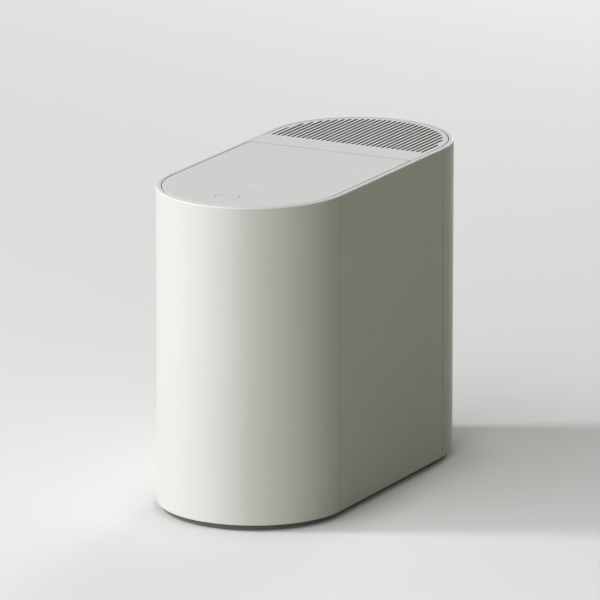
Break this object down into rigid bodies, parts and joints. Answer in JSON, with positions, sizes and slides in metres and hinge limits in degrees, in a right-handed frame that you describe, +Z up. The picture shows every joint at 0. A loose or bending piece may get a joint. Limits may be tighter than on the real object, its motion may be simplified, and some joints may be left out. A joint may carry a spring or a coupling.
{
  "type": "electric food waste composter",
  "caption": "Stadium-shaped countertop food waste composter with a flush hinged lid, push button, lift-out pot with a driven rotor, and a slotted rear grille over a carbon filter.",
  "frame": {"origin": "on the floor under the middle of the body's plan", "axes": "+Z up, +Y towards the back along the body's length, +X to the right seen from the front"},
  "size_m": [0.18, 0.39, 0.306],
  "materials": {
    "shell": "fine moulded texture, warm light grey, satin-matt",
    "dark": "dark grey moulded plastic",
    "inner": "mid grey moulded plastic",
    "steel": "brushed or pressed steel",
    "alloy": "cast aluminium",
    "pot_alloy": "cast aluminium with a dark non-stick coat",
    "brass": "machined brass",
    "rubber": "soft black rubber",
    "lens": "frosted clear plastic",
    "board": "printed circuit board with its parts",
    "carbon": "carbon granules"
  },
  "bodies": {
    "body": {"front_shell": "shell", "rear_shell": "shell", "left_panel": "shell", "right_panel": "shell", "base_tray": "dark", "feet": "rubber", "base_screws": "steel", "top_frame": "inner", "top_screws": "steel", "partition_wall": "inner", "hinge_cover": "shell", "hinge_brackets": "steel", "hinge_pins": "steel", "bracket_screws": "steel", "latch_keeper": "steel", "chamber_well": "steel", "heater_plate": "alloy", "thermostat": "dark", "shaft_seal": "rubber", "shaft_bearings": "steel", "idler_pin": "steel", "motor": "steel", "gear_case": "inner", "gear_case_cover": "inner", "gearbox_screws": "steel", "exhaust_duct": "inner", "fan_housing": "dark", "fan_motor": "dark", "filter_bay": "inner", "control_board": "board", "power_inlet": "dark"},
    "lid": {"lid_cover": "shell", "lid_liner": "inner", "lid_gasket": "rubber", "lid_screws": "steel", "lid_board": "board", "status_lens": "lens", "left_hinge_arm": "steel", "right_hinge_arm": "steel", "latch_pin": "steel"},
    "button": {"lid_button": "shell", "button_spring": "steel"},
    "latch": {"latch_hook": "steel"},
    "pot": {"pot": "pot_alloy", "pot_bush": "brass", "fixed_blades": "steel"},
    "bail": {"pot_bail": "steel"},
    "rotor": {"rotor": "steel", "rotor_shaft": "steel", "rotor_nut": "steel", "pot_coupler": "dark"},
    "output": {"output_shaft": "steel", "output_gear": "brass", "drive_coupler": "dark"},
    "idler": {"idler_gear": "brass"},
    "pinion": {"motor_pinion": "steel"},
    "fan": {"fan_impeller": "inner"},
    "filter": {"vent_grille": "shell", "filter_cartridge": "dark", "carbon_bed": "carbon"}
  },
  "joints": [
    {"name": "lid_open", "type": "hinge", "parent": "body", "child": "lid", "pos_m": [0, 0.064, 0.292], "axis": [-1, 0, 0], "range_deg": [0, 85]},
    {"name": "button_press", "type": "slide", "parent": "lid", "child": "button", "axis": [0, 0, -1], "range_m": [0, 0.0015], "stiffness_N_per_m": 600, "springref_m": -0.002, "deforming": ["button_spring"]},
    {"name": "latch_release", "type": "hinge", "parent": "lid", "child": "latch", "pos_m": [0, -0.1745, 0.2973], "axis": [-1, 0, 0], "range_deg": [0, 6]},
    {"name": "pot_lift", "type": "slide", "parent": "body", "child": "pot", "axis": [0, 0, 1], "range_m": [0, 0.175]},
    {"name": "bail_swing", "type": "hinge", "parent": "pot", "child": "bail", "pos_m": [0, -0.098, 0.2745], "axis": [-1, 0, 0], "range_deg": [0, 92]},
    {"name": "output_spin", "type": "hinge", "parent": "body", "child": "output", "pos_m": [0, -0.098, 0.1], "axis": [0, 0, 1], "continuous": true},
    {"name": "rotor_spin", "type": "hinge", "parent": "pot", "child": "rotor", "pos_m": [0, -0.098, 0.15], "axis": [0, 0, 1], "continuous": true},
    {"name": "idler_spin", "type": "hinge", "parent": "body", "child": "idler", "pos_m": [0, -0.04925, 0.08], "axis": [0, 0, 1], "continuous": true},
    {"name": "pinion_spin", "type": "hinge", "parent": "body", "child": "pinion", "pos_m": [0, -0.01675, 0.07], "axis": [0, 0, 1], "continuous": true},
    {"name": "fan_spin", "type": "hinge", "parent": "body", "child": "fan", "pos_m": [0, 0.025, 0.21], "axis": [0, 0, 1], "continuous": true},
    {"name": "filter_lift", "type": "slide", "parent": "body", "child": "filter", "axis": [0, 0, 1], "range_m": [0, 0.11]}
  ],
  "couplings": [
    {"joint": "latch_release", "follows": "button_press", "rad_per_m": 57.143},
    {"joint": "pot_lift", "follows": "lid_open", "m_per_rad": 0.1165},
    {"joint": "bail_swing", "follows": "lid_open", "ratio": 1.06},
    {"joint": "rotor_spin", "follows": "output_spin", "ratio": 1},
    {"joint": "idler_spin", "follows": "output_spin", "ratio": -3.3333},
    {"joint": "pinion_spin", "follows": "output_spin", "ratio": 9.4118}
  ]
}
